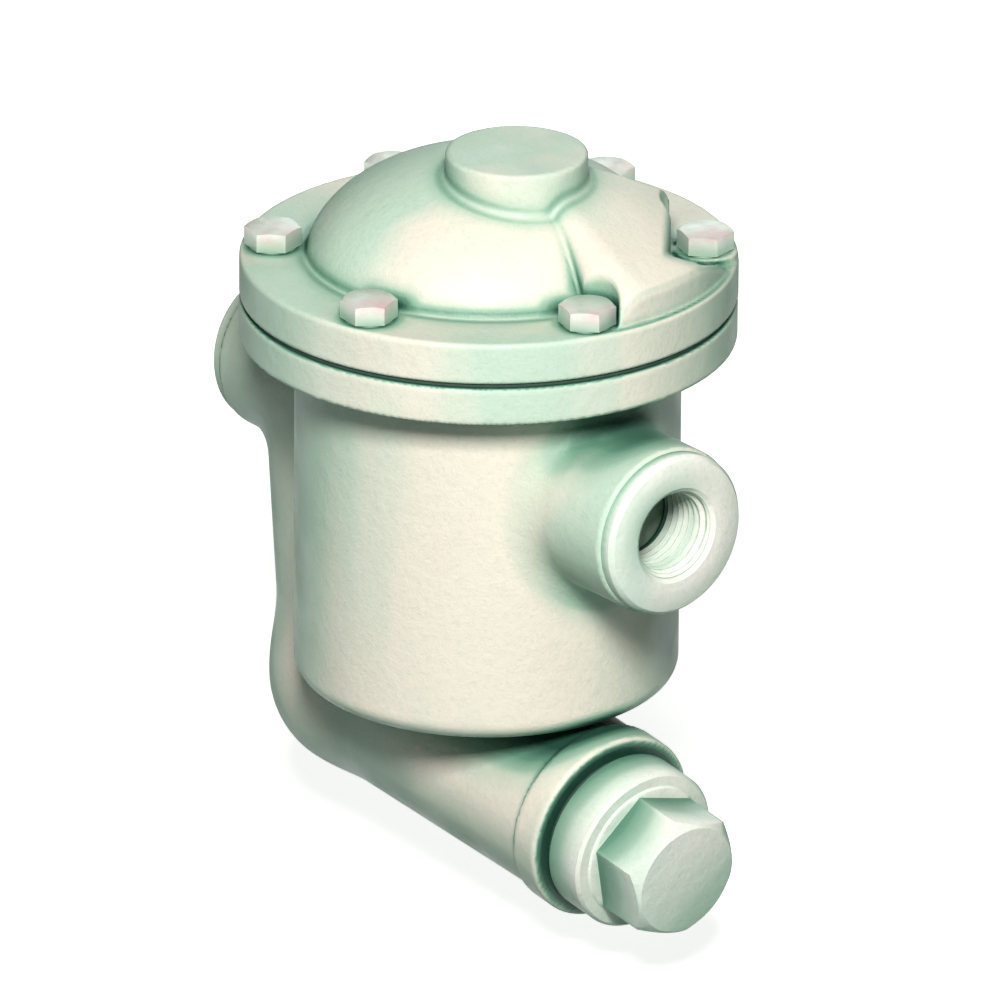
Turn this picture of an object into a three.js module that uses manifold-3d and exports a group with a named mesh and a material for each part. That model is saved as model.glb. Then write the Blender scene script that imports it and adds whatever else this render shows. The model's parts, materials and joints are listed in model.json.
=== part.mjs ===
// Inverted-bucket steam trap with an integral strainer, 3/4 in. screwed ports.
// Millimetres, +Z up, +X along the pipe from inlet to outlet.
// The pieces are built on the bucket chamber's axis, at the height of the pipe's centre line, and the
// whole trap is then moved so that the origin is the centre of the inlet face.

import * as THREE from 'three';
import { mergeVertices } from 'three/addons/utils/BufferGeometryUtils.js';
import Module from 'manifold-3d';

const wasm = await Module();
wasm.setup();

// ---- Driving dimensions ----------------------------------------------------------------------------

const GAP = 0.3; // between two pieces that touch
const PAST = 1; // how far a cutting tool runs past a face

const FLANGE_RADIUS = 71.5;
const FLANGE_BEVEL = 1;
const BODY_FLANGE_BOTTOM = 34.7;
const BODY_FLANGE_TOP = 46;
const GASKET_THICKNESS = 0.8;
const CAP_BOTTOM = BODY_FLANGE_TOP + GASKET_THICKNESS + 2 * GAP;
const CAP_TOP = 59.6;

const BODY_RADIUS = 55.6;
const BODY_BOTTOM = -70;
const BODY_CORNER = 6;
const CHAMBER_RADIUS = 49.5;
const CHAMBER_FLOOR = -63;
const CHAMBER_CORNER = 5;

const INLET_FACE = -99.5;
const OUTLET_FACE = 86.5;
const PORT_BOSS_RADIUS = 24;
const PORT_BOSS_BEVEL = 1.5;
const THREAD = { radius: 13.2, endRadius: 12.6, length: 20, mouthRadius: 15, mouthDepth: 2 };
const INLET_BORE_RADIUS = 11;
const OUTLET_BORE_RADIUS = 5;

const LEG = { x: -66, topRadius: 24, radius: 26, boreX: -64 };
const ELBOW = { x: -54, z: -89, radius: 28 };
const BARREL_END_RADIUS = 27.4;

const STRAINER_TILT = THREE.MathUtils.degToRad(7.5);
const COLLAR = { x: 48, z: -98.8, radius: 28.3, length: 10.2 };
const COLLAR_BORE_RADIUS = 20;
const COLLAR_BORE_LENGTH = 14;
const SCREEN_BORE_RADIUS = 18.5;
const SCREEN_BORE_LENGTH = 74;
const SCREEN_SEAT_BORE_RADIUS = 13;

const DOME_RADIUS = 51;
const DOME_HEIGHT = 29;
const DOME_CAVITY_RADIUS = 45.5;
const DOME_CAVITY_HEIGHT = 23;
const DOME_CAVITY_BASE = CAP_TOP - 2;
const TOP_BOSS = { x: 12.5, radius: 20.4, top: CAP_TOP + 34.9 };

const BOLT_COUNT = 6;
const BOLT_CIRCLE_RADIUS = 62;
const BOLT_START_DEG = 48.3;
const BOLT_SHANK_RADIUS = 4.6;
const BOLT_HOLE_RADIUS = 5;
const BOLT_HEAD_HEIGHT = 6;
const BOLT_ACROSS_FLATS = 14.3;
const BOLT_END = 36;
const BOLT_TURN_DEG = 21.4; // one flat of each head to the same side

const LOBE = { startDeg: -3, endDeg: 56, innerRadius: 18, outerRadius: 69.5, depth: 4 };
// The lobe's roof, as [radius from the chamber's axis, height over the flange].
const LOBE_ROOF = [[69.5, 9.5], [67, 12], [58, 15], [43, 20.5], [24, 27], [0, 29]];
const SPOT_FACE_RADIUS = 14;
const SPOT_FACE_HEIGHT = 2.5;
const RUN_OUT_SLOPE = THREE.MathUtils.degToRad(16.7);

const PASSAGE_X = 47.5;
const PASSAGE_RADIUS = 4.5;
const PASSAGE_WALL_RADIUS = 9;
const SEAT_X = 18;
const FULCRUM_X = 30;
const HOOK_X = 0;
const PAD_BOTTOM = 62;
const PAD = { xStart: 6, xEnd: 38, halfWidth: 13 };
const LEVER_ROOM = { xStart: -30, xEnd: 36, halfWidth: 30 };
const SLANT_START = CAP_TOP + 14; // height of the slanting passage over the seat
const SLANT_END = CAP_TOP - 2;
const SEAT_BORE_RADIUS = 8;
const SEAT_BOTTOM = 57.2;
const SEAT_HEX_ACROSS_FLATS = 19;
const SEAT_STEM_LENGTH = 9;
const ORIFICE_RADIUS = 2.4;

const LEVER_BOTTOM = 49.3;
const LEVER_THICKNESS = 1.5;
const PIN_SPACING = 10;
const PIN_RADIUS = 1.3;
const PIN_HEAD = { radius: 2.8, height: 1.4, drop: 2.2 };
const PIN_DEPTH = 6.5;
const PIN_HOLE_RADIUS = 2.4;
// One side of the lever, as [distance from the chamber's axis, half width].
const LEVER_SIDE = [[-4, 2], [6, 2], [10, 5.5], [23, 6.5], [26, 8.5], [34.5, 8.5]];
const VALVE_STEM_RADIUS = 1.9;
const VALVE_HEAD_RADIUS = 4.2;
const VALVE_HEAD_HEIGHT = 3.6;
const VALVE_STEM_DROP = 3;
const RETAINER = { radius: 4.4, thickness: 1.2 };

const BUCKET_RADIUS = 36;
const BUCKET_TOP = 39.5;
const BUCKET_HEIGHT = 84;
const BUCKET_WALL = 1.2;
const BUCKET_SHOULDER = 4;
const BUCKET_BEAD = { radius: 36.6, height: 3 };
const VENT = { x: -18, radius: 1.2 };
const CLIP = { width: 10, thickness: 1.6, foot: 1.2, top: 54.3, slotWidth: 5.2, slotMargin: 0.9 };
const INLET_TUBE_RADIUS = 9.5;
const INLET_TUBE_BORE = 8;
const INLET_TUBE_TOP = 12;

const CAP_HEX_ACROSS_FLATS = 34.4;
const CAP_HEX_LENGTH = 19.4;
const CAP_HEX_TURN_DEG = 44;
const STRAINER_CAP_FLANGE = { radius: 24.5, length: 13.6, bevel: 0.8 };
const STRAINER_GASKET_THICKNESS = 1.2;
const SPIGOT_RADIUS = COLLAR_BORE_RADIUS - 0.4;
const SPIGOT_LENGTH = 12;
const SCREEN_RADIUS = 16.2;
const SCREEN_WALL = 0.9;
const SCREEN_HOLES_AROUND = 8;
const SCREEN_HOLE_ROWS = 6;
const SCREEN_HOLE_RADIUS = 2.4;
const SCREEN_PLAIN_END = 6;

const ROUND = 48; // facets round the large castings
const MEDIUM = 28;
const SMALL = 14;
const HEX_END_SHARE = 0.48; // radius of a head's end face, of its width across flats
const HEX_CHAMFER_SLOPE = 0.6;

// ---- Solids ----------------------------------------------------------------------------------------

function toSolid(geometry) {
  const bare = geometry.clone();
  bare.deleteAttribute('normal');
  bare.deleteAttribute('uv');
  const merged = mergeVertices(bare, 1e-4);
  const corners = merged.index.array;
  const faces = [];
  for (let i = 0; i < corners.length; i += 3) {
    const [a, b, c] = corners.slice(i, i + 3);
    if (a !== b && b !== c && c !== a) faces.push(a, b, c);
  }
  const mesh = new wasm.Mesh({
    numProp: 3,
    vertProperties: new Float32Array(merged.attributes.position.array),
    triVerts: new Uint32Array(faces),
  });
  return new wasm.Manifold(mesh);
}

function toGeometry(solid) {
  const mesh = solid.getMesh();
  const geometry = new THREE.BufferGeometry();
  geometry.setAttribute('position', new THREE.BufferAttribute(new Float32Array(mesh.vertProperties), 3));
  geometry.setIndex(new THREE.BufferAttribute(new Uint32Array(mesh.triVerts), 1));
  geometry.computeVertexNormals();
  return geometry;
}

function join(...geometries) {
  return toGeometry(geometries.map(toSolid).reduce((whole, piece) => whole.add(piece)));
}

function cut(base, ...tools) {
  return toGeometry(tools.map(toSolid).reduce((rest, tool) => rest.subtract(tool), toSolid(base)));
}

function common(a, b) {
  return toGeometry(toSolid(a).intersect(toSolid(b)));
}

// A cylinder or cone between two points.
function rod(from, to, radius, endRadius = radius, facets = MEDIUM) {
  const start = new THREE.Vector3(...from);
  const along = new THREE.Vector3(...to).sub(start);
  const geometry = new THREE.CylinderGeometry(endRadius, radius, along.length(), facets);
  geometry.translate(0, along.length() / 2, 0);
  geometry.applyQuaternion(
    new THREE.Quaternion().setFromUnitVectors(new THREE.Vector3(0, 1, 0), along.clone().normalize()),
  );
  return geometry.translate(start.x, start.y, start.z);
}

// A body turned about the Z axis from [radius, height] points.
function turned(profile, facets = ROUND) {
  const points = profile.map(([radius, height]) => new THREE.Vector2(radius, height));
  return new THREE.LatheGeometry(points, facets).rotateX(Math.PI / 2);
}

// The same, with its axis along +X.
function turnedAlongX(profile, facets = MEDIUM) {
  return turned(profile, facets).rotateY(Math.PI / 2);
}

function ringProfile(inner, outer, bottom, top) {
  return [[inner, bottom], [outer, bottom], [outer, top], [inner, top], [inner, bottom]];
}

// Points of a quarter ellipse from the rim (angle 0) to the axis, as [radius, height].
function domeProfile(radius, height, base, steps) {
  const points = [];
  for (let i = 0; i <= steps; i += 1) {
    const angle = (i / steps) * (Math.PI / 2);
    points.push([i === steps ? 0 : radius * Math.cos(angle), base + height * Math.sin(angle)]);
  }
  return points;
}

// Points of a rounded outside corner between a floor and a wall.
function cornerProfile(radius, floor, corner, steps = 5) {
  const points = [];
  for (let i = 0; i <= steps; i += 1) {
    const angle = (i / steps) * (Math.PI / 2);
    points.push([
      radius - corner + corner * Math.sin(angle),
      floor + corner - corner * Math.cos(angle),
    ]);
  }
  return points;
}

function extruded(shape, bottom, top, facets = SMALL) {
  const geometry = new THREE.ExtrudeGeometry(shape, {
    depth: top - bottom,
    bevelEnabled: false,
    curveSegments: facets,
  });
  return geometry.translate(0, 0, bottom);
}

function block(xRange, yRange, zRange) {
  const size = [xRange, yRange, zRange].map(([low, high]) => high - low);
  const middle = [xRange, yRange, zRange].map(([low, high]) => (low + high) / 2);
  return new THREE.BoxGeometry(...size).translate(...middle);
}

// A hexagonal prism along Z, with its top corners turned off in a chamfer where asked for.
function hexagon(acrossFlats, bottom, top, chamferTop = true) {
  const cornerRadius = acrossFlats / Math.sqrt(3);
  const endRadius = acrossFlats * HEX_END_SHARE;
  const prism = rod([0, 0, bottom], [0, 0, top], cornerRadius, cornerRadius, 6);
  if (!chamferTop) return prism;
  const drop = (cornerRadius - endRadius) * HEX_CHAMFER_SLOPE;
  const turnedEnd = turned([
    [0, bottom - PAST],
    [cornerRadius + PAST, bottom - PAST],
    [cornerRadius + PAST, top - drop - PAST * HEX_CHAMFER_SLOPE],
    [endRadius, top],
    [0, top],
  ], MEDIUM);
  return common(prism, turnedEnd);
}

function circleHole(x, y, radius) {
  const hole = new THREE.Path();
  hole.absarc(x, y, radius, 0, 2 * Math.PI, true);
  return hole;
}

// The collar's own frame: origin on its axis at its back face, +X out of the strainer.
const strainerFrame = new THREE.Matrix4()
  .makeTranslation(COLLAR.x, 0, COLLAR.z)
  .multiply(new THREE.Matrix4().makeRotationY(STRAINER_TILT));

function inStrainerFrame(geometry) {
  return geometry.applyMatrix4(strainerFrame);
}

function boltPlace(index) {
  const angle = THREE.MathUtils.degToRad(BOLT_START_DEG + index * (360 / BOLT_COUNT));
  return [BOLT_CIRCLE_RADIUS * Math.cos(angle), BOLT_CIRCLE_RADIUS * Math.sin(angle)];
}

function boltHoles(radius, bottom, top) {
  const holes = [];
  for (let i = 0; i < BOLT_COUNT; i += 1) {
    const [x, y] = boltPlace(i);
    holes.push(rod([x, y, bottom], [x, y, top], radius, radius, SMALL));
  }
  return holes;
}

// ---- Body casting ----------------------------------------------------------------------------------

function portThread(face, inward) {
  const outside = face - inward * PAST;
  const mouth = rod([outside, 0, 0], [face + inward * THREAD.mouthDepth, 0, 0], THREAD.mouthRadius,
    THREAD.radius - GAP);
  const thread = rod([outside, 0, 0], [face + inward * THREAD.length, 0, 0], THREAD.radius,
    THREAD.endRadius);
  return join(mouth, thread);
}

function portBoss(face, inward) {
  return rod([face, 0, 0], [face + inward * PORT_BOSS_BEVEL, 0, 0], PORT_BOSS_RADIUS - PORT_BOSS_BEVEL,
    PORT_BOSS_RADIUS);
}

function bodyOutside() {
  const shell = turned([
    [0, BODY_BOTTOM],
    ...cornerProfile(BODY_RADIUS, BODY_BOTTOM, BODY_CORNER),
    [BODY_RADIUS, BODY_FLANGE_BOTTOM],
    [FLANGE_RADIUS - FLANGE_BEVEL, BODY_FLANGE_BOTTOM],
    [FLANGE_RADIUS, BODY_FLANGE_BOTTOM + FLANGE_BEVEL],
    [FLANGE_RADIUS, BODY_FLANGE_TOP],
    [0, BODY_FLANGE_TOP],
  ]);
  const bossEnd = CHAMBER_RADIUS - 5 * PAST;
  const outletBoss = rod([bossEnd, 0, 0], [OUTLET_FACE - PORT_BOSS_BEVEL, 0, 0], PORT_BOSS_RADIUS);
  const inletBoss = rod([INLET_FACE + PORT_BOSS_BEVEL, 0, 0], [-bossEnd, 0, 0], PORT_BOSS_RADIUS);
  const leg = rod([LEG.x, 0, 0], [ELBOW.x, 0, ELBOW.z], LEG.topRadius, LEG.radius);
  const elbow = new THREE.SphereGeometry(ELBOW.radius, MEDIUM, SMALL).translate(ELBOW.x, 0, ELBOW.z);
  const barrel = rod([ELBOW.x, 0, ELBOW.z], [COLLAR.x + PAST, 0, COLLAR.z], ELBOW.radius,
    BARREL_END_RADIUS);
  const collar = inStrainerFrame(rod([0, 0, 0], [COLLAR.length, 0, 0], COLLAR.radius));
  return join(
    shell,
    outletBoss,
    portBoss(OUTLET_FACE, -1),
    inletBoss,
    portBoss(INLET_FACE, 1),
    leg,
    elbow,
    barrel,
    collar,
  );
}

function bucketChamber() {
  return turned([
    [0, CHAMBER_FLOOR],
    ...cornerProfile(CHAMBER_RADIUS, CHAMBER_FLOOR, CHAMBER_CORNER),
    [CHAMBER_RADIUS, BODY_FLANGE_TOP + PAST],
    [0, BODY_FLANGE_TOP + PAST],
  ]);
}

function strainerBores() {
  const collarBoreEnd = COLLAR.length - COLLAR_BORE_LENGTH;
  const screenBoreEnd = collarBoreEnd - SCREEN_BORE_LENGTH;
  return [
    rod([collarBoreEnd, 0, 0], [COLLAR.length + PAST, 0, 0], COLLAR_BORE_RADIUS),
    rod([screenBoreEnd, 0, 0], [COLLAR.length, 0, 0], SCREEN_BORE_RADIUS),
    rod([LEG.boreX - COLLAR.x, 0, 0], [COLLAR.length, 0, 0], SCREEN_SEAT_BORE_RADIUS),
  ].map(inStrainerFrame);
}

// The outlet passage comes down inside the chamber wall in its own rib.
function outletRib() {
  return rod([PASSAGE_X, 0, -PASSAGE_WALL_RADIUS], [PASSAGE_X, 0, BODY_FLANGE_TOP], PASSAGE_WALL_RADIUS,
    PASSAGE_WALL_RADIUS, SMALL);
}

function makeBody() {
  const hollow = cut(bodyOutside(), bucketChamber());
  const casting = join(hollow, outletRib());
  const tubeHoleTop = CHAMBER_FLOOR + PAST;
  return cut(
    casting,
    portThread(INLET_FACE, 1),
    portThread(OUTLET_FACE, -1),
    rod([INLET_FACE, 0, 0], [LEG.boreX, 0, 0], INLET_BORE_RADIUS),
    rod([LEG.boreX, 0, INLET_BORE_RADIUS / 2], [LEG.boreX, 0, ELBOW.z], INLET_BORE_RADIUS),
    rod([PASSAGE_X, 0, 0], [OUTLET_FACE, 0, 0], OUTLET_BORE_RADIUS, OUTLET_BORE_RADIUS, SMALL),
    rod([PASSAGE_X, 0, -OUTLET_BORE_RADIUS / 2], [PASSAGE_X, 0, BODY_FLANGE_TOP + PAST], PASSAGE_RADIUS,
      PASSAGE_RADIUS, SMALL),
    rod([0, 0, COLLAR.z], [0, 0, tubeHoleTop], INLET_TUBE_BORE, INLET_TUBE_BORE, SMALL),
    rod([0, 0, BODY_BOTTOM - PAST], [0, 0, tubeHoleTop], INLET_TUBE_RADIUS + GAP,
      INLET_TUBE_RADIUS + GAP, SMALL),
    ...strainerBores(),
    ...boltHoles(BOLT_HOLE_RADIUS, BODY_FLANGE_BOTTOM - PAST, BODY_FLANGE_TOP + PAST),
  );
}

// ---- Cap casting -----------------------------------------------------------------------------------

function lobeRoof() {
  const roof = LOBE_ROOF.map(([radius, height]) => [radius, CAP_TOP + height]);
  const base = CAP_TOP - LOBE.depth;
  return turned([[0, base], [LOBE.outerRadius, base], ...roof]);
}

function lobeFan() {
  const start = THREE.MathUtils.degToRad(LOBE.startDeg);
  const end = THREE.MathUtils.degToRad(LOBE.endDeg);
  const outline = new THREE.Shape();
  outline.moveTo(LOBE.innerRadius * Math.cos(start), LOBE.innerRadius * Math.sin(start));
  outline.absarc(0, 0, LOBE.outerRadius + PAST, start, end, false);
  outline.lineTo(LOBE.innerRadius * Math.cos(end), LOBE.innerRadius * Math.sin(end));
  outline.closePath();
  return extruded(outline, CAP_TOP - LOBE.depth + PAST, TOP_BOSS.top);
}

// A sloping cut beside the spot face: it runs down from the lobe's outer wall to the bolt's pocket.
function lobeRunOut(boltX, boltY) {
  const reach = 2 * SPOT_FACE_RADIUS;
  return block([-BOLT_ACROSS_FLATS / 2, reach], [-1.5 * reach, SPOT_FACE_RADIUS], [0, reach])
    .rotateX(-RUN_OUT_SLOPE)
    .translate(0, -SPOT_FACE_RADIUS, 0)
    .rotateZ(THREE.MathUtils.degToRad(BOLT_START_DEG))
    .translate(boltX, boltY, CAP_TOP + SPOT_FACE_HEIGHT);
}

function outletLobe() {
  const [boltX, boltY] = boltPlace(0);
  const lobe = common(lobeFan(), lobeRoof());
  const pocketFloor = CAP_TOP + SPOT_FACE_HEIGHT;
  const pocket = rod([boltX, boltY, pocketFloor], [boltX, boltY, TOP_BOSS.top], SPOT_FACE_RADIUS);
  return cut(lobe, pocket, lobeRunOut(boltX, boltY));
}

function domeOutside() {
  return turned([[0, CAP_BOTTOM], [DOME_RADIUS, CAP_BOTTOM], ...domeProfile(DOME_RADIUS, DOME_HEIGHT,
    CAP_TOP, 10)]);
}

function capOutside() {
  const flange = turned([
    [0, CAP_BOTTOM],
    [FLANGE_RADIUS, CAP_BOTTOM],
    [FLANGE_RADIUS, CAP_TOP - FLANGE_BEVEL],
    [FLANGE_RADIUS - FLANGE_BEVEL, CAP_TOP],
    [0, CAP_TOP],
  ]);
  const topBoss = rod([TOP_BOSS.x, 0, CAP_TOP], [TOP_BOSS.x, 0, TOP_BOSS.top], TOP_BOSS.radius);
  return join(flange, domeOutside(), topBoss, outletLobe());
}

function capCavity() {
  return turned([
    [0, CAP_BOTTOM - PAST],
    [DOME_CAVITY_RADIUS, CAP_BOTTOM - PAST],
    ...domeProfile(DOME_CAVITY_RADIUS, DOME_CAVITY_HEIGHT, DOME_CAVITY_BASE, 8),
  ]);
}

// The metal left inside the dome round the valve seat, the guide pins and the outlet passage.
function capInside() {
  const pad = block([PAD.xStart, PAD.xEnd], [-PAD.halfWidth, PAD.halfWidth],
    [PAD_BOTTOM, CAP_TOP + DOME_HEIGHT]);
  const slant = rod([SEAT_X, 0, SLANT_START], [PASSAGE_X, 0, SLANT_END], PASSAGE_WALL_RADIUS,
    PASSAGE_WALL_RADIUS, SMALL);
  const drop = rod([PASSAGE_X, 0, CAP_BOTTOM], [PASSAGE_X, 0, CAP_TOP], PASSAGE_WALL_RADIUS,
    PASSAGE_WALL_RADIUS, SMALL);
  const leverRoom = block([LEVER_ROOM.xStart, LEVER_ROOM.xEnd],
    [-LEVER_ROOM.halfWidth, LEVER_ROOM.halfWidth], [CAP_BOTTOM - PAST, PAD_BOTTOM]);
  const withinCap = join(domeOutside(), rod([0, 0, CAP_BOTTOM], [0, 0, CAP_TOP], BOLT_CIRCLE_RADIUS));
  return common(cut(join(pad, slant, drop), leverRoom), withinCap);
}

function guidePinHole(side) {
  const y = side * PIN_SPACING / 2;
  return rod([FULCRUM_X, y, PAD_BOTTOM - PAST], [FULCRUM_X, y, PAD_BOTTOM + PIN_DEPTH + GAP],
    PIN_RADIUS + GAP, PIN_RADIUS + GAP, SMALL);
}

function makeCap() {
  const shell = cut(capOutside(), capCavity());
  return cut(
    join(shell, capInside()),
    rod([SEAT_X, 0, PAD_BOTTOM - PAST], [SEAT_X, 0, SLANT_START], SEAT_BORE_RADIUS, SEAT_BORE_RADIUS,
      SMALL),
    rod([SEAT_X, 0, SLANT_START - PAST], [PASSAGE_X, 0, SLANT_END - PAST], PASSAGE_RADIUS,
      PASSAGE_RADIUS, SMALL),
    rod([PASSAGE_X, 0, CAP_BOTTOM - PAST], [PASSAGE_X, 0, CAP_TOP - PAST], PASSAGE_RADIUS,
      PASSAGE_RADIUS, SMALL),
    guidePinHole(-1),
    guidePinHole(1),
    ...boltHoles(BOLT_HOLE_RADIUS, CAP_BOTTOM - PAST, CAP_TOP + SPOT_FACE_HEIGHT + PAST),
  );
}

function makeCapGasket() {
  const bottom = BODY_FLANGE_TOP + GAP;
  const top = bottom + GASKET_THICKNESS;
  const ring = turned(ringProfile(CHAMBER_RADIUS + GAP, FLANGE_RADIUS - FLANGE_BEVEL, bottom, top));
  const tab = rod([PASSAGE_X, 0, bottom], [PASSAGE_X, 0, top], PASSAGE_WALL_RADIUS - GAP,
    PASSAGE_WALL_RADIUS - GAP, SMALL);
  const passage = rod([PASSAGE_X, 0, bottom - PAST], [PASSAGE_X, 0, top + PAST], PASSAGE_RADIUS + GAP,
    PASSAGE_RADIUS + GAP, SMALL);
  return cut(join(ring, tab), passage, ...boltHoles(BOLT_HOLE_RADIUS + GAP, bottom - PAST, top + PAST));
}

function makeCapBolt(seatHeight) {
  const headBottom = seatHeight + GAP;
  const shank = rod([0, 0, BOLT_END], [0, 0, headBottom + PAST], BOLT_SHANK_RADIUS, BOLT_SHANK_RADIUS,
    SMALL);
  return join(shank, hexagon(BOLT_ACROSS_FLATS, headBottom, headBottom + BOLT_HEAD_HEIGHT));
}

// ---- Valve, lever and bucket -----------------------------------------------------------------------

function makeValveSeat() {
  const hexFlange = hexagon(SEAT_HEX_ACROSS_FLATS, SEAT_BOTTOM, PAD_BOTTOM - GAP, false);
  const stemTop = PAD_BOTTOM + SEAT_STEM_LENGTH;
  const stem = rod([0, 0, PAD_BOTTOM - PAST], [0, 0, stemTop], SEAT_BORE_RADIUS - GAP,
    SEAT_BORE_RADIUS - GAP, SMALL);
  const orifice = rod([0, 0, SEAT_BOTTOM - PAST], [0, 0, stemTop + PAST], ORIFICE_RADIUS,
    ORIFICE_RADIUS, SMALL);
  return cut(join(hexFlange, stem), orifice).translate(SEAT_X, 0, 0);
}

function makeGuidePin() {
  const headBottom = LEVER_BOTTOM - PIN_HEAD.drop;
  return turned([
    [0, headBottom],
    [PIN_HEAD.radius, headBottom],
    [PIN_HEAD.radius, headBottom + PIN_HEAD.height],
    [PIN_RADIUS, headBottom + PIN_HEAD.height],
    [PIN_RADIUS, PAD_BOTTOM + PIN_DEPTH],
    [0, PAD_BOTTOM + PIN_DEPTH],
  ], SMALL);
}

function makeLever() {
  const outline = new THREE.Shape(LEVER_SIDE.map(([x, halfWidth]) => new THREE.Vector2(x, -halfWidth)));
  for (const [x, halfWidth] of LEVER_SIDE.toReversed()) {
    outline.lineTo(x, halfWidth);
  }
  outline.closePath();
  outline.holes.push(
    circleHole(SEAT_X, 0, VALVE_STEM_RADIUS + GAP),
    circleHole(FULCRUM_X, -PIN_SPACING / 2, PIN_HOLE_RADIUS),
    circleHole(FULCRUM_X, PIN_SPACING / 2, PIN_HOLE_RADIUS),
  );
  return extruded(outline, LEVER_BOTTOM, LEVER_BOTTOM + LEVER_THICKNESS);
}

function makeValveHead() {
  const base = LEVER_BOTTOM + LEVER_THICKNESS + GAP;
  const stemEnd = LEVER_BOTTOM - VALVE_STEM_DROP;
  const shoulder = VALVE_HEAD_HEIGHT * 0.4;
  return turned([
    [0, stemEnd],
    [VALVE_STEM_RADIUS, stemEnd],
    [VALVE_STEM_RADIUS, base],
    [VALVE_HEAD_RADIUS, base],
    ...domeProfile(VALVE_HEAD_RADIUS, VALVE_HEAD_HEIGHT - shoulder, base + shoulder, 3),
  ], SMALL).translate(SEAT_X, 0, 0);
}

function makeValveRetainer() {
  const top = LEVER_BOTTOM - GAP;
  return turned(ringProfile(VALVE_STEM_RADIUS + GAP, RETAINER.radius, top - RETAINER.thickness, top), SMALL)
    .translate(SEAT_X, 0, 0);
}

function makeBucket() {
  const rim = BUCKET_TOP - BUCKET_HEIGHT;
  const inner = BUCKET_RADIUS - BUCKET_WALL;
  const innerShoulder = BUCKET_SHOULDER - BUCKET_WALL;
  const cup = turned([
    [0, BUCKET_TOP - BUCKET_WALL],
    [inner - innerShoulder, BUCKET_TOP - BUCKET_WALL],
    [inner, BUCKET_TOP - BUCKET_WALL - innerShoulder],
    [inner, rim],
    [BUCKET_BEAD.radius, rim],
    [BUCKET_BEAD.radius, rim + BUCKET_BEAD.height],
    [BUCKET_RADIUS, rim + BUCKET_BEAD.height + BUCKET_WALL],
    [BUCKET_RADIUS, BUCKET_TOP - BUCKET_SHOULDER],
    [BUCKET_RADIUS - BUCKET_SHOULDER, BUCKET_TOP],
    [0, BUCKET_TOP],
  ]);
  const vent = rod([VENT.x, 0, BUCKET_TOP - BUCKET_SHOULDER], [VENT.x, 0, BUCKET_TOP + PAST], VENT.radius,
    VENT.radius, SMALL);
  return cut(cup, vent);
}

function makeBucketClip() {
  const bottom = BUCKET_TOP + GAP;
  const halfWidth = CLIP.width / 2;
  const halfThick = CLIP.thickness / 2;
  const halfSlot = CLIP.slotWidth / 2;
  const plate = block([-halfThick, halfThick], [-halfWidth, halfWidth], [bottom, CLIP.top]);
  const foot = block([-halfWidth, halfWidth], [-halfWidth, halfWidth], [bottom, bottom + CLIP.foot]);
  const slot = block([-halfThick - PAST, halfThick + PAST], [-halfSlot, halfSlot],
    [LEVER_BOTTOM - CLIP.slotMargin, LEVER_BOTTOM + LEVER_THICKNESS + CLIP.slotMargin]);
  return cut(join(plate, foot), slot).translate(HOOK_X, 0, 0);
}

function makeInletTube() {
  return turned(ringProfile(INLET_TUBE_BORE, INLET_TUBE_RADIUS, BODY_BOTTOM - 2 * GAP, INLET_TUBE_TOP),
    SMALL);
}

// ---- Strainer, built in the collar's own frame -----------------------------------------------------

const CAP_FLANGE_BACK = COLLAR.length + STRAINER_GASKET_THICKNESS + 2 * GAP;
const CAP_FLANGE_FRONT = CAP_FLANGE_BACK + STRAINER_CAP_FLANGE.length;
const SPIGOT_END = CAP_FLANGE_BACK - SPIGOT_LENGTH;
const SPIGOT_FLOOR = CAP_FLANGE_BACK - 1;

function makeStrainerCap() {
  const { radius, bevel } = STRAINER_CAP_FLANGE;
  const spigotBore = SCREEN_RADIUS + 0.5;
  const turnedPart = turnedAlongX([
    [0, SPIGOT_FLOOR],
    [spigotBore, SPIGOT_FLOOR],
    [spigotBore, SPIGOT_END],
    [SPIGOT_RADIUS, SPIGOT_END],
    [SPIGOT_RADIUS, CAP_FLANGE_BACK],
    [radius, CAP_FLANGE_BACK],
    [radius, CAP_FLANGE_FRONT - bevel],
    [radius - bevel, CAP_FLANGE_FRONT],
    [0, CAP_FLANGE_FRONT],
  ]);
  const hex = hexagon(CAP_HEX_ACROSS_FLATS, CAP_FLANGE_FRONT - PAST, CAP_FLANGE_FRONT + CAP_HEX_LENGTH)
    .rotateZ(THREE.MathUtils.degToRad(CAP_HEX_TURN_DEG))
    .rotateY(Math.PI / 2);
  return join(turnedPart, hex);
}

function makeStrainerGasket() {
  const back = COLLAR.length + GAP;
  return turnedAlongX(ringProfile(COLLAR_BORE_RADIUS + GAP, STRAINER_CAP_FLANGE.radius - 1.5, back,
    back + STRAINER_GASKET_THICKNESS));
}

function makeStrainerScreen() {
  const outer = SPIGOT_FLOOR - GAP;
  const inner = COLLAR.length - COLLAR_BORE_LENGTH - SCREEN_BORE_LENGTH + GAP;
  const tube = turnedAlongX(ringProfile(SCREEN_RADIUS - SCREEN_WALL, SCREEN_RADIUS, inner, outer));
  const pitch = (SPIGOT_END - inner - 2 * SCREEN_PLAIN_END) / SCREEN_HOLE_ROWS;
  const reach = SCREEN_RADIUS + PAST;
  const holes = [];
  for (let row = 0; row < SCREEN_HOLE_ROWS; row += 1) {
    const x = inner + SCREEN_PLAIN_END + (row + 0.5) * pitch;
    for (let i = 0; i < SCREEN_HOLES_AROUND / 2; i += 1) {
      const angle = ((i + (row % 2) / 2) / SCREEN_HOLES_AROUND) * 2 * Math.PI;
      const y = reach * Math.cos(angle);
      const z = reach * Math.sin(angle);
      holes.push(rod([x, -y, -z], [x, y, z], SCREEN_HOLE_RADIUS, SCREEN_HOLE_RADIUS, 4));
    }
  }
  return cut(tube, ...holes);
}

// ---- Materials -------------------------------------------------------------------------------------

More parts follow.
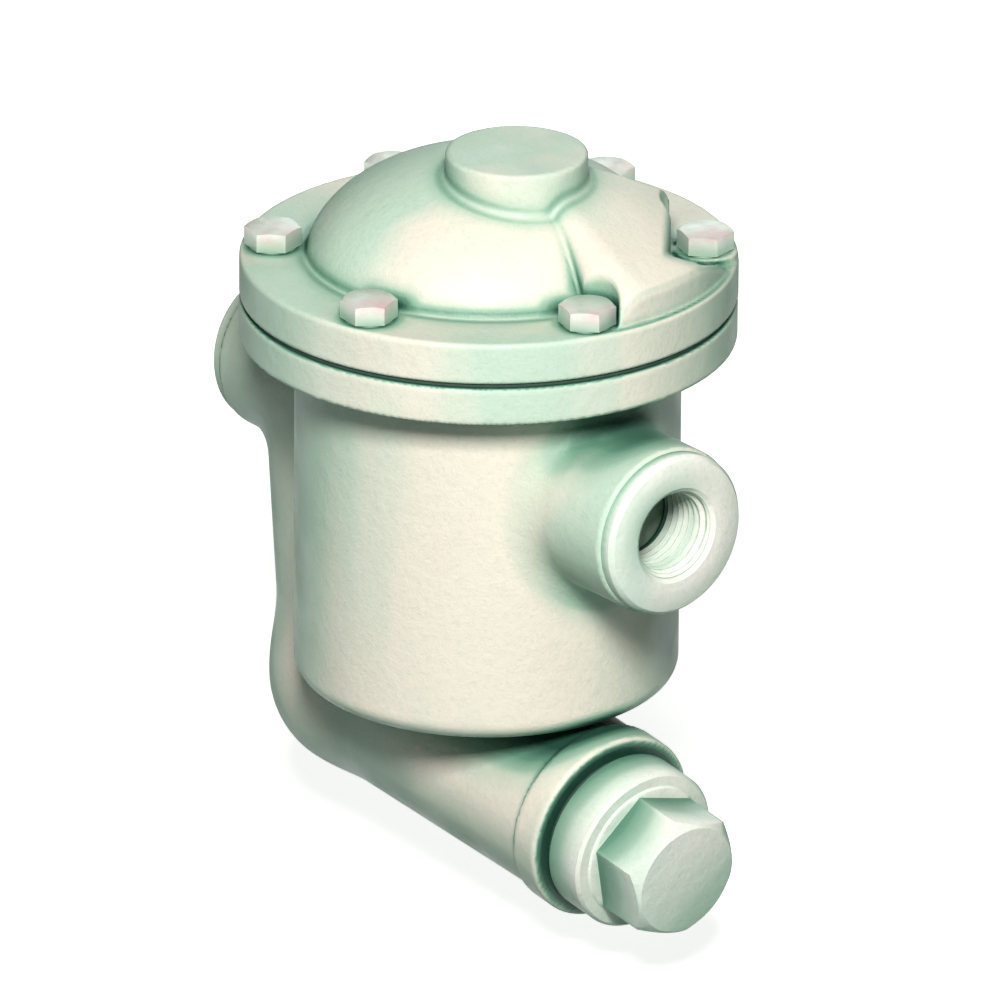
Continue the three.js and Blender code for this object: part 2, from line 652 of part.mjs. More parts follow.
function finish(color, roughness, metalness) {
  return () => new THREE.MeshStandardMaterial({ color, roughness, metalness });
}

const paintedIron = finish('#cfdccb', 0.55, 0);
const boltSteel = finish('#d7ddd2', 0.45, 0.2);
const gasketSheet = finish('#23342c', 0.8, 0);
const stainless = finish('#b9bcbd', 0.3, 1);

// ---- The trap --------------------------------------------------------------------------------------

function piece(name, geometry, material) {
  const mesh = new THREE.Mesh(geometry, material());
  mesh.name = name;
  return mesh;
}

const trap = new THREE.Group();
trap.position.x = -INLET_FACE;

trap.add(
  piece('body', makeBody(), paintedIron),
  piece('cap', makeCap(), paintedIron),
  piece('cap_gasket', makeCapGasket(), gasketSheet),
  piece('valve_seat', makeValveSeat(), stainless),
  piece('lever', makeLever(), stainless),
  piece('valve_head', makeValveHead(), stainless),
  piece('valve_retainer', makeValveRetainer(), stainless),
  piece('bucket', makeBucket(), stainless),
  piece('bucket_clip', makeBucketClip(), stainless),
  piece('inlet_tube', makeInletTube(), stainless),
);

for (let i = 0; i < BOLT_COUNT; i += 1) {
  const [x, y] = boltPlace(i);
  const seatHeight = CAP_TOP + (i === 0 ? SPOT_FACE_HEIGHT : 0);
  const bolt = piece(`cap_bolt_${i + 1}`, makeCapBolt(seatHeight), boltSteel);
  bolt.position.set(x, y, 0);
  bolt.rotation.z = THREE.MathUtils.degToRad(BOLT_TURN_DEG);
  trap.add(bolt);
}

for (const side of [-1, 1]) {
  const pin = piece(`guide_pin_${side < 0 ? 1 : 2}`, makeGuidePin(), stainless);
  pin.position.set(FULCRUM_X, side * PIN_SPACING / 2, 0);
  trap.add(pin);
}

const strainer = new THREE.Group();
strainer.position.set(COLLAR.x, 0, COLLAR.z);
strainer.rotation.y = STRAINER_TILT;
strainer.add(
  piece('strainer_screen', makeStrainerScreen(), stainless),
  piece('strainer_gasket', makeStrainerGasket(), gasketSheet),
  piece('strainer_cap', makeStrainerCap(), paintedIron),
);
trap.add(strainer);

export default trap;
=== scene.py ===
"""Looks of an inverted-bucket steam trap with an integral strainer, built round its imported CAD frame.

The castings are sculpted as distance fields in millimetres (smooth fillets where the surfaces meet) and
turned into meshes. The bolts, the port ends and the strainer cap are built ring by ring. The pieces
inside and the gaskets are shown as their CAD solids.
"""
import json
import math

import bpy
import numpy as np
from mathutils import Matrix, Vector


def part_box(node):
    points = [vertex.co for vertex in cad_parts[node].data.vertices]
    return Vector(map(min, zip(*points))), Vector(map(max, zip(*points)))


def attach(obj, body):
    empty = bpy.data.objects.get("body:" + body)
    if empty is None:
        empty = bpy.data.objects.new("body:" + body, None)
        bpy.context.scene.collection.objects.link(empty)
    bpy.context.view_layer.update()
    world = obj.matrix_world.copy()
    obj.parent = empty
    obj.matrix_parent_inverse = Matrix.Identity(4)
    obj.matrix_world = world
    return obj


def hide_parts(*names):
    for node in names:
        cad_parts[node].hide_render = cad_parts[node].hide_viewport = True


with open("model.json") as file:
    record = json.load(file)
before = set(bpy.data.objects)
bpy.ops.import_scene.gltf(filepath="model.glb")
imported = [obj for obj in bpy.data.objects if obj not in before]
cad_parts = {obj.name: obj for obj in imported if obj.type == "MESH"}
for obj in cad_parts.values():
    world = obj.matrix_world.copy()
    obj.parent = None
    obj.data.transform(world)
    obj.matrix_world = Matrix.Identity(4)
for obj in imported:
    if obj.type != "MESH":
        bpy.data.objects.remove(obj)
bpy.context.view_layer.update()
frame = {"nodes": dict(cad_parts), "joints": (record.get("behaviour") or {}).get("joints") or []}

MM = 0.001

# ---- Measures, in millimetres along the frame's axes -----------------------------------------------


def box_mm(node):
    low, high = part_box(node)
    return [value / MM for value in low], [value / MM for value in high]


def joint(name):
    return next(j for j in frame["joints"] if j["name"] == name)


body_low, body_high = box_mm("body")
cap_low, cap_high = box_mm("cap")

AXIS_X = (cap_low[0] + cap_high[0]) / 2
FLANGE_RADIUS = (cap_high[1] - cap_low[1]) / 2
FLANGE_EDGE = 1.2
JOINT_FACE = 0.2  # how much closer the painted castings come to the gasket than the bare ones
BODY_FLANGE_HEIGHT = 11.3
CAP_FLANGE_HEIGHT = 12.2
BODY_FLANGE_TOP = body_high[2] + JOINT_FACE
BODY_FLANGE_BOTTOM = body_high[2] - BODY_FLANGE_HEIGHT
CAP_BOTTOM = cap_low[2] - JOINT_FACE
CAP_TOP = cap_low[2] + CAP_FLANGE_HEIGHT
TOP_BOSS_TOP = cap_high[2]
INLET_FACE = body_low[0]
OUTLET_FACE = body_high[0]

BODY_RADIUS = 55.6
BODY_BOTTOM = -70.0
BODY_CORNER = 6.0
CHAMBER_RADIUS = 49.5
CHAMBER_FLOOR = -63.0
CHAMBER_CORNER = 5.0
PORT_BOSS_RADIUS = 24.8
PORT_BOSS_END = 30.0  # how far from the body's axis the port bosses end inside the casting
PORT_RIM_RADIUS = 23.9
PORT_RIM_LENGTH = 4.6
SOCKET_RADIUS = 18.0
SOCKET_LENGTH = 20.5
FLOW_BORE_RADIUS = 11.0
TUBE_HOLE_RADIUS = 9.8
BOLT_HOLE_RADIUS = 5.0
BORE_EDGE = 0.6
OVERSHOOT = 5.0  # how far a cutting tool runs past the face that it opens

OUTLET_PASSAGE_X = AXIS_X + 47.5
OUTLET_PASSAGE_RADIUS = 4.5
PASSAGE_METAL_RADIUS = 9.0
VALVE_SEAT_X = AXIS_X + 18
VALVE_SEAT_HOLE_RADIUS = 8.0
GUIDE_PIN_X = AXIS_X + 30
GUIDE_PIN_OFFSET = 5.0
GUIDE_PIN_HOLE_RADIUS = 1.6
CAP_HOLLOW_RADIUS = 45.5
CAP_HOLLOW_HEIGHT = 23.0
PAD_HALF_WIDTH = 13.0
PAD_BOTTOM, PAD_TOP = 62.0, 95.0

LEG_TOP = (AXIS_X - 66, 0, 0)
LEG_RADIUS = 24.0
LEG_BORE_X = AXIS_X - 64
ELBOW = (AXIS_X - 54, 0, -89)
ELBOW_RADIUS = 28.0
BARREL_END_RADIUS = 26.9

COLLAR_RADIUS = 28.3
COLLAR_LENGTH = 10.2
COLLAR_BORE = 20.0
COLLAR_BORE_DEPTH = 3.8  # behind the collar's back face
SCREEN_BORE = 18.5
SCREEN_BORE_DEPTH = 77.8
BARREL_BORE = 13.0
LEG_FOOT_DEPTH = 112.0  # where the leg's bore runs into the barrel's
PLUG_BACK, PLUG_FRONT = 12.0, 25.6  # where the strainer cap's round shoulder starts and ends
PLUG_RADIUS = 24.5
PLUG_HEX, PLUG_HEX_LENGTH = 34.4, 19.4
PLUG_TURN = 14  # degrees that its hexagon is turned by

DOME_RADIUS = 53.0
DOME_HEIGHT = 33.0
DOME_SINK = 4.0  # how far the dome's widest section lies below the flange's top
TOP_BOSS_X = AXIS_X + 12.5
TOP_BOSS_RADIUS = 20.4

LOBE_START = math.radians(-8)
LOBE_END = math.radians(57)
LOBE_RADIUS = 69.5
LOBE_ROOF = 29.5  # the roof's height above the flange, near the axis
LOBE_FALL, LOBE_CURVE = 14, 6.5  # how much the roof falls from there, evenly and ever faster
SPOT_FACE_RADIUS = 13.0
SPOT_FACE_HEIGHT = 2.5
RUN_OUT_SLOPE, RUN_OUT_TILT = 0.42, 0.30  # of the cut beside the spot face: along it, and inward
SLOPE_SCALE, RUN_OUT_SCALE = 0.9, 0.88  # make heights over a sloping face nearer to true distances
BOLT_SEAT_RADIUS = 9.3
SCALLOP_RADIUS = 8.9

BOLT_HEX, BOLT_HEAD_HEIGHT = 14.3, 6.25
BOLT_RADIUS = 4.55
BOLT_TURN = 51.4  # degrees that the bolts' hexagons are turned by, give or take a few
BOLT_PITCH, PIPE_PITCH, PLUG_PITCH = 1.5875, 2.309, 2.209

turn = joint("strainer_cap_turn")
STRAINER_ORIGIN = np.array(turn["pos_m"]) / MM
STRAINER_AXIS = np.array(turn["axis"])
BOLT_NODES = sorted(name for name in frame["nodes"] if name.startswith("cap_bolt"))


def middle(node):
    """Where the middle of a CAD solid's box lies in plan."""
    low, high = box_mm(node)
    return (low[0] + high[0]) / 2, (low[1] + high[1]) / 2


BOLT_PLACES = [middle(node) for node in BOLT_NODES]


def along_strainer(distance):
    """A point on the strainer's axis, that far out from the collar's back face."""
    return STRAINER_ORIGIN + distance * STRAINER_AXIS


# ---- Distance fields -------------------------------------------------------------------------------


def corner(across, along, edge):
    """Distance to a solid corner between two faces, rounded by the edge radius."""
    a, b = across + edge, along + edge
    return np.minimum(np.maximum(a, b), 0) + np.hypot(np.maximum(a, 0), np.maximum(b, 0)) - edge


def axial(p, start, end):
    """Each point's distance from the line start-end and its place along it, with the line's length."""
    start, end = np.array(start, np.float32), np.array(end, np.float32)
    span = float(np.linalg.norm(end - start))
    unit = (end - start) / span
    rel = p - start
    place = rel @ unit
    away = np.sqrt(np.maximum((rel * rel).sum(1) - place * place, 0))
    return away, place, span


def cylinder(p, start, end, radius, edge=0.0):
    away, place, span = axial(p, start, end)
    return corner(away - radius, np.abs(place - span / 2) - span / 2, edge)


def taper(p, start, end, radius, end_radius):
    """A round bar with round ends whose radius changes from start to end."""
    away, place, span = axial(p, start, end)
    share = np.clip(place / span, 0, 1)
    return np.hypot(away, place - share * span) - (radius + (end_radius - radius) * share)


def dome(p, centre, radius, height):
    rel = p - np.array(centre, np.float32)
    size = np.array((radius, radius, height), np.float32)
    near = np.linalg.norm(rel / size, axis=1)
    slope = np.linalg.norm(rel / size**2, axis=1)
    return near * (near - 1) / np.maximum(slope, 1e-6)


def union(a, b, fillet):
    """Both solids as one, with the corner between them filled out."""
    overlap = np.maximum(fillet - np.abs(a - b), 0)
    return np.minimum(a, b) - overlap * overlap / (4 * fillet)


def common(a, b, fillet):
    """What both solids share, with its edge rounded."""
    return -union(-a, -b, fillet)


def cut(a, tool, fillet):
    """The first solid without the second, with its new edge rounded."""
    return -union(-a, tool, fillet)


def port_boss(p, face, inward):
    """The cast boss of a pipe port. Its machined end is a piece of its own."""
    return cylinder(p, (face + inward * PORT_RIM_LENGTH, 0, 0), (AXIS_X - inward * PORT_BOSS_END, 0, 0),
                    PORT_BOSS_RADIUS, 0.9)


def inlet_limb(p):
    """The inlet boss, the leg that drops from it, and the slanting strainer barrel under the body."""
    leg = taper(p, LEG_TOP, ELBOW, LEG_RADIUS, ELBOW_RADIUS - 2)
    barrel = taper(p, ELBOW, along_strainer(2), ELBOW_RADIUS, BARREL_END_RADIUS)
    front = (p - along_strainer(COLLAR_LENGTH - 4)) @ STRAINER_AXIS
    elbow = union(leg, np.maximum(barrel, front), 10)
    return union(elbow, port_boss(p, INLET_FACE, 1), 6)


def body_distance(p):
    cup = cylinder(p, (AXIS_X, 0, BODY_BOTTOM), (AXIS_X, 0, BODY_FLANGE_TOP - 2), BODY_RADIUS, BODY_CORNER)
    flange = cylinder(p, (AXIS_X, 0, BODY_FLANGE_BOTTOM), (AXIS_X, 0, BODY_FLANGE_TOP), FLANGE_RADIUS,
                      FLANGE_EDGE)
    shape = union(cup, flange, 3)
    shape = union(shape, inlet_limb(p), 2.5)
    shape = union(shape, port_boss(p, OUTLET_FACE, -1), 7)
    collar = cylinder(p, along_strainer(0), along_strainer(COLLAR_LENGTH), COLLAR_RADIUS, 1.2)
    shape = union(shape, collar, 0.8)
    chamber = cylinder(p, (AXIS_X, 0, CHAMBER_FLOOR), (AXIS_X, 0, BODY_FLANGE_TOP + 9), CHAMBER_RADIUS,
                       CHAMBER_CORNER)
    rib = cylinder(p, (OUTLET_PASSAGE_X, 0, -9), (OUTLET_PASSAGE_X, 0, BODY_FLANGE_TOP),
                   PASSAGE_METAL_RADIUS, 1)
    shape = union(cut(shape, chamber, 1), rib, 3)
    for bore in body_bores(p):
        shape = cut(shape, bore, BORE_EDGE)
    return shape


def body_bores(p):
    leg_foot = along_strainer(-LEG_FOOT_DEPTH)
    yield cylinder(p, (INLET_FACE - OVERSHOOT, 0, 0), (INLET_FACE + SOCKET_LENGTH, 0, 0), SOCKET_RADIUS)
    yield cylinder(p, (OUTLET_FACE + OVERSHOOT, 0, 0), (OUTLET_FACE - SOCKET_LENGTH, 0, 0), SOCKET_RADIUS)
    yield cylinder(p, (INLET_FACE, 0, 0), (LEG_BORE_X, 0, 0), FLOW_BORE_RADIUS)
    yield taper(p, (LEG_BORE_X, 0, 0), leg_foot, FLOW_BORE_RADIUS, FLOW_BORE_RADIUS)
    yield cylinder(p, (OUTLET_PASSAGE_X, 0, 0), (OUTLET_FACE, 0, 0), OUTLET_PASSAGE_RADIUS + 0.5)
    yield cylinder(p, (OUTLET_PASSAGE_X, 0, -2), (OUTLET_PASSAGE_X, 0, BODY_FLANGE_TOP + OVERSHOOT),
                   OUTLET_PASSAGE_RADIUS)
    yield cylinder(p, (AXIS_X, 0, -95), (AXIS_X, 0, CHAMBER_FLOOR + OVERSHOOT), TUBE_HOLE_RADIUS)
    yield cylinder(p, along_strainer(-COLLAR_BORE_DEPTH), along_strainer(20), COLLAR_BORE)
    yield cylinder(p, along_strainer(-SCREEN_BORE_DEPTH), along_strainer(0), SCREEN_BORE)
    yield cylinder(p, leg_foot, along_strainer(0), BARREL_BORE)
    for x, y in BOLT_PLACES:
        yield cylinder(p, (x, y, BODY_FLANGE_BOTTOM - OVERSHOOT), (x, y, BODY_FLANGE_TOP + OVERSHOOT),
                       BOLT_HOLE_RADIUS)


def lobe_distance(p):
    """The outlet lobe: a fan-shaped swelling of the dome, run out to the flange's rim."""
    x, y, z = p[:, 0] - AXIS_X, p[:, 1], p[:, 2] - CAP_TOP
    radius = np.hypot(x, y)
    start_side = x * math.sin(LOBE_START) - y * math.cos(LOBE_START)
    end_side = -x * math.sin(LOBE_END) + y * math.cos(LOBE_END)
    outer = np.clip((radius - 20) / 50, 0, 1.2)
    roof = (z - (LOBE_ROOF - LOBE_FALL * outer - LOBE_CURVE * outer * outer)) * SLOPE_SCALE
    lobe = np.maximum(corner(start_side, roof, 3 + 0.13 * radius), corner(end_side, roof, 5))
    lobe = common(lobe, radius - LOBE_RADIUS, 2.4)
    lobe = common(lobe, -z - 3, 0.5)
    bolt_x, bolt_y = BOLT_PLACES[0]
    away = np.hypot(p[:, 0] - bolt_x, y - bolt_y)
    pocket = common(away - SPOT_FACE_RADIUS, SPOT_FACE_HEIGHT - z, 0.5)
    bearing = math.atan2(bolt_y, bolt_x - AXIS_X)
    outward = (x * math.cos(bearing) + y * math.sin(bearing)) - math.hypot(bolt_x - AXIS_X, bolt_y)
    sideways = -x * math.sin(bearing) + y * math.cos(bearing)
    rise = RUN_OUT_SLOPE * (sideways + SPOT_FACE_RADIUS)
    slope = SPOT_FACE_HEIGHT - rise - RUN_OUT_TILT * np.minimum(outward, 0)
    run_out = common((slope - z) * RUN_OUT_SCALE, common(-outward - 9.5, sideways - 6, 3), 1.5)
    lobe = cut(cut(lobe, run_out, 2.5), pocket, 0.6)
    near_x, near_y = BOLT_PLACES[-1]
    scallop = np.maximum(np.hypot(p[:, 0] - near_x, y - near_y) - SCALLOP_RADIUS, -z)
    return cut(lobe, scallop, 1.2)


def cap_distance(p):
    flange = cylinder(p, (AXIS_X, 0, CAP_BOTTOM), (AXIS_X, 0, CAP_TOP), FLANGE_RADIUS, FLANGE_EDGE)
    shape = union(flange, dome(p, (AXIS_X, 0, CAP_TOP - DOME_SINK), DOME_RADIUS, DOME_HEIGHT), 1.5)
    shape = union(shape, lobe_distance(p), 1.2)
    x, y = BOLT_PLACES[0]
    seat = cylinder(p, (x, y, CAP_BOTTOM), (x, y, CAP_TOP + SPOT_FACE_HEIGHT), BOLT_SEAT_RADIUS, 0.6)
    shape = union(shape, seat, 1.0)
    boss = cylinder(p, (TOP_BOSS_X, 0, CAP_TOP), (TOP_BOSS_X, 0, TOP_BOSS_TOP), TOP_BOSS_RADIUS, 1.1)
    shape = union(shape, boss, 2.0)
    shape = common(shape, CAP_BOTTOM - p[:, 2], 0.5)
    cavity = dome(p, (AXIS_X, 0, CAP_TOP - 2), CAP_HOLLOW_RADIUS, CAP_HOLLOW_HEIGHT)
    straight = cylinder(p, (AXIS_X, 0, CAP_BOTTOM - OVERSHOOT), (AXIS_X, 0, CAP_TOP - 2), CAP_HOLLOW_RADIUS)
    hollow = cut(shape, np.minimum(cavity, straight), 1)
    shape = np.minimum(hollow, common(shape, cap_pad(p), 1))
    for bore in cap_bores(p):
        shape = cut(shape, bore, BORE_EDGE)
    return shape


def cap_pad(p):
    """The metal left under the dome for the valve seat, the guide pins and the outlet passage."""
    low = np.array((AXIS_X + 6, -PAD_HALF_WIDTH, PAD_BOTTOM), np.float32)
    high = np.array((AXIS_X + 38, PAD_HALF_WIDTH, PAD_TOP), np.float32)
    beyond = np.abs(p - (low + high) / 2) - (high - low) / 2
    pad = np.linalg.norm(np.maximum(beyond, 0), axis=1) + np.minimum(beyond.max(1), 0)
    slant = cylinder(p, (VALVE_SEAT_X, 0, CAP_TOP + 14), (OUTLET_PASSAGE_X, 0, CAP_TOP - 2),
                     PASSAGE_METAL_RADIUS)
    room = common(p[:, 2] - PAD_BOTTOM, p[:, 0] - AXIS_X - 36, 0.5)
    drop = cylinder(p, (OUTLET_PASSAGE_X, 0, CAP_BOTTOM), (OUTLET_PASSAGE_X, 0, CAP_TOP),
                    PASSAGE_METAL_RADIUS)
    return np.minimum(cut(np.minimum(pad, slant), room, 0.5), drop)


def cap_bores(p):
    below = PAD_BOTTOM - 7
    yield cylinder(p, (VALVE_SEAT_X, 0, below), (VALVE_SEAT_X, 0, CAP_TOP + 14), VALVE_SEAT_HOLE_RADIUS)
    yield cylinder(p, (VALVE_SEAT_X, 0, CAP_TOP + 13), (OUTLET_PASSAGE_X, 0, CAP_TOP - 3),
                   OUTLET_PASSAGE_RADIUS)
    yield cylinder(p, (OUTLET_PASSAGE_X, 0, CAP_BOTTOM - OVERSHOOT), (OUTLET_PASSAGE_X, 0, CAP_TOP - 1),
                   OUTLET_PASSAGE_RADIUS)
    for y in (-GUIDE_PIN_OFFSET, GUIDE_PIN_OFFSET):
        yield cylinder(p, (GUIDE_PIN_X, y, below), (GUIDE_PIN_X, y, PAD_BOTTOM + 7), GUIDE_PIN_HOLE_RADIUS)
    for x, y in BOLT_PLACES:
        yield cylinder(p, (x, y, CAP_BOTTOM - OVERSHOOT), (x, y, CAP_TOP + 6), BOLT_HOLE_RADIUS)


def plug_distance(p):
    return cylinder(p, along_strainer(PLUG_BACK), along_strainer(PLUG_FRONT), PLUG_RADIUS, 0.8)


def surroundings(p):
    """Everything that shuts in the corners of the castings, for the shade painted into those corners."""
    near_bolts = np.full(len(p), 1e3, np.float32)
    for x, y in BOLT_PLACES:
        head = cylinder(p, (x, y, CAP_TOP), (x, y, CAP_TOP + 3.5), 7.2)
        near_bolts = np.minimum(near_bolts, head)
    solid = np.minimum(body_distance(p), cap_distance(p))
    return np.minimum(np.minimum(solid, near_bolts), plug_distance(p))


# ---- From distance fields to meshes ----------------------------------------------------------------

BODY_CELL, CAP_CELL = 1.1, 0.75
BLOCK = 4  # cells along the side of a coarse block
CUBE = np.array([(i, j, k) for i in (0, 1) for j in (0, 1) for k in (0, 1)])
GRADIENT_REACH = 0.05


def sample(distance, low, high, cell):
    """The field on a grid, worked out exactly only in the coarse blocks that the surface can reach."""
    low = np.array(low, np.float32) - 2 * cell
    counts = np.ceil((np.array(high) + 2 * cell - low) / (cell * BLOCK)).astype(int)
    step = cell * BLOCK
    middles = (np.indices(counts).reshape(3, -1).T + 0.5) * step + low
    coarse = distance(middles.astype(np.float32)).reshape(counts)
    near = np.abs(coarse) < step * 1.3
    for axis in range(3):
        coarse = np.repeat(coarse, BLOCK, axis)
        near = np.repeat(near, BLOCK, axis)
    field = coarse.astype(np.float32)
    wanted = np.argwhere(near)
    points = wanted.astype(np.float32) * cell + low
    field[tuple(wanted.T)] = distance(points)
    return field, low


def surface_net(field):
    """Vertices (in cells) and quads of the surface where the field is zero."""
    inside = field < 0
    shape = np.array(field.shape) - 1
    count = np.zeros(shape, np.int8)
    for i, j, k in CUBE:
        count += inside[i:i + shape[0], j:j + shape[1], k:k + shape[2]]
    cells = np.argwhere((count > 0) & (count < 8))
    index = np.full(shape, -1, np.int32)
    index[tuple(cells.T)] = np.arange(len(cells))
    total = np.zeros((len(cells), 3))
    crossings = np.zeros(len(cells))
    for a in CUBE:
        for axis in range(3):
            if a[axis]:
                continue
            b = a.copy()
            b[axis] = 1
            va = field[tuple((cells + a).T)]
            vb = field[tuple((cells + b).T)]
            crossed = (va < 0) != (vb < 0)
            share = np.where(crossed, va / np.where(crossed, va - vb, 1), 0)
            point = a + share[:, None] * (b - a)
            total += np.where(crossed[:, None], point, 0)
            crossings += crossed
    vertices = cells + total / crossings[:, None]
    quads = []
    for axis in range(3):
        u, v = (axis + 1) % 3, (axis + 2) % 3
        ahead = np.roll(inside, -1, axis)
        crossed = np.argwhere(inside != ahead)
        keep = (crossed > 0).all(1) & (crossed < shape).all(1)
        crossed = crossed[keep]
        outward = inside[tuple(crossed.T)]
        around = []
        for du, dv in ((0, 0), (1, 0), (1, 1), (0, 1)):
            place = crossed.copy()
            place[:, u] -= du
            place[:, v] -= dv
            around.append(index[tuple(place.T)])
        quad = np.stack(around, 1)
        quads.append(np.where(outward[:, None], quad, quad[:, ::-1]))
    return vertices, np.concatenate(quads)


def gradient(distance, points):
    sides = []
    for axis in range(3):
        shift = np.zeros(3, np.float32)
        shift[axis] = GRADIENT_REACH
        sides.append((distance(points + shift) - distance(points - shift)) / (2 * GRADIENT_REACH))
    return np.stack(sides, 1)


def settle(distance, points, cell):
    """Moves the vertices onto the true surface and returns them with their normals."""
    points = points.astype(np.float32)
    for _ in range(2):
        slope = gradient(distance, points)
        steep = np.maximum((slope * slope).sum(1), 0.2)
        move = -(distance(points) / steep)[:, None] * slope
        points = points + np.clip(move, -cell / 2, cell / 2)
    slope = gradient(distance, points)
    return points, slope / np.maximum(np.linalg.norm(slope, axis=1, keepdims=True), 1e-6)


# Painted shade in corners and under overhangs: how far out from the surface it looks for shutting solids
CREVICE_SHADE_REACHES = ((1.5, 0.20), (4.0, 0.25), (9.0, 0.30), (20.0, 0.25))  # each with its weight
# A fixed direction: surfaces turned edge-on to it get painted shade, as if lit from along it, front and
# back alike
SHADE_DIRECTION = np.array((0.60, -0.56, 0.574), np.float32)
EDGE_ON_SHADE_START = 0.75  # how squarely a surface faces that direction where its painted shade begins


def crevice_shade(points, normals):
    """How shut in each point is, for the painted shade in corners: 0 in the open, towards 1 deep in a
    corner.
    """
    shut = np.zeros(len(points))
    for reach, weight in CREVICE_SHADE_REACHES:
        free = surroundings(points + normals * reach)
        shut += weight * np.clip(1 - free / reach, 0, 1)
    return shut


def mesh_object(name, vertices_mm, faces, smooth_angle=None):
    mesh = bpy.data.meshes.new(name)
    mesh.from_pydata((np.asarray(vertices_mm) * MM).tolist(), [], [list(f) for f in faces])
    mesh.shade_smooth()
    mesh.update()
    piece = bpy.data.objects.new(name, mesh)
    bpy.context.scene.collection.objects.link(piece)
    if smooth_angle is not None:
        mesh.set_sharp_from_angle(angle=math.radians(smooth_angle))
    return piece


def add_attribute(piece, name, values):
    layer = piece.data.attributes.new(name, "FLOAT", "POINT")
    layer.data.foreach_set("value", np.asarray(values, np.float32))


def edge_on_shade(normals):
    """How edge-on each point is to a fixed direction, 0 to 1, for the painted shade that darkens the sides
    turned edge-on to it.
    """
    facing = np.abs(normals @ (SHADE_DIRECTION / np.linalg.norm(SHADE_DIRECTION)))
    return np.clip(1 - facing / EDGE_ON_SHADE_START, 0, 1)


def add_painted_shade(piece, points, normals):
    """Adds the two attributes that the painted materials darken by, as painted shade in corners and on
    edge-on sides.
    """
    add_attribute(piece, "crevice_shade", crevice_shade(points, normals))
    add_attribute(piece, "edge_on_shade", edge_on_shade(normals))


def sculpt(name, distance, low, high, cell):
    field, origin = sample(distance, low, high, cell)
    vertices, quads = surface_net(field)
    points, normals = settle(distance, vertices * cell + origin, cell)
    piece = mesh_object(name, points, quads)
    add_painted_shade(piece, points, normals)
    return piece


def give_painted_shade(piece):
    """Gives a turned or hexagonal piece the same painted-shade attributes as the sculpted castings."""
    count = len(piece.data.vertices)
    points, normals = np.empty(count * 3, np.float32), np.empty(count * 3, np.float32)
    piece.data.vertices.foreach_get("co", points)
    piece.data.vertices.foreach_get("normal", normals)
    points, normals = points.reshape(-1, 3) / MM, normals.reshape(-1, 3)
    add_painted_shade(piece, points.astype(np.float32), normals)


# ---- Ring-built pieces -----------------------------------------------------------------------------


def ring_mesh(name, rings, smooth_angle=30, closed_loop=False):
    """A closed mesh from rings of equal point counts. The ends are filled, or join up in a closed loop."""
    rings = [np.asarray(ring, float) for ring in rings]
    size = len(rings[0])
    vertices = np.concatenate(rings)
    faces = []
    last = len(rings) if closed_loop else len(rings) - 1
    for r in range(last):
        base, above = r * size, (r + 1) % len(rings) * size
        for i in range(size):
            j = (i + 1) % size
            faces.append((base + i, base + j, above + j, above + i))
    if not closed_loop:
        faces.append(tuple(reversed(range(size))))
        faces.append(tuple(range((len(rings) - 1) * size, len(rings) * size)))
    return mesh_object(name, vertices, faces, smooth_angle)


ROUND = 120  # points round a turned piece


def ring(radius, height):
    """A ring of points round Z. The radius is one number or one for each point."""
    angles = np.arange(ROUND) / ROUND * 2 * math.pi
    radius = np.broadcast_to(radius, ROUND)
    return np.stack((radius * np.cos(angles), radius * np.sin(angles), np.broadcast_to(height, ROUND)), 1)


def hex_radius(across_flats):
    """The radius of a hexagon at each of the ring's angles, with its corners on points of the ring."""
    angles = np.arange(ROUND) / ROUND * 2 * math.pi
    within = np.mod(angles, math.pi / 3) - math.pi / 6
    return across_flats / 2 / np.cos(within)


def thread_phase(depth, pitch):
    """Where each of a ring's points lies in the thread's pitch: 0.5 is a crest, 0 and 1 are roots."""
    return np.mod(depth / pitch - np.arange(ROUND) / ROUND, 1)


def outside_thread(radius, depth, pitch, per_turn, start, length):
    """Rings of an outside thread with straight flanks."""
    for i in range(int(length / pitch * per_turn)):
        height = start + i * pitch / per_turn
        yield ring(radius - depth * np.abs(thread_phase(height, pitch) - 0.5) * 2, height)


def chamfered_hex(across_flats, bottom, top, end_share=0.487, drop=0.4, foot=None):
    """Rings of a hexagonal head whose corners are turned off at the top, in true curved facets."""
    flats = hex_radius(across_flats)
    end = across_flats * end_share
    start = bottom if foot is None else bottom + foot
    rings = [ring(flats, start), ring(flats, top - (flats - end) * drop), ring(end, top)]
    if foot is not None:
        rings = [ring(end, bottom), ring(end, start)] + rings
    return rings


def place_on_axis(piece, origin_mm, axis):
    """Turns a piece built round Z onto an axis, and puts its origin there."""
    turned = Vector((0, 0, 1)).rotation_difference(Vector(axis)).to_matrix().to_4x4()
    piece.data.transform(Matrix.Translation(Vector(origin_mm) * MM) @ turned)
    return piece


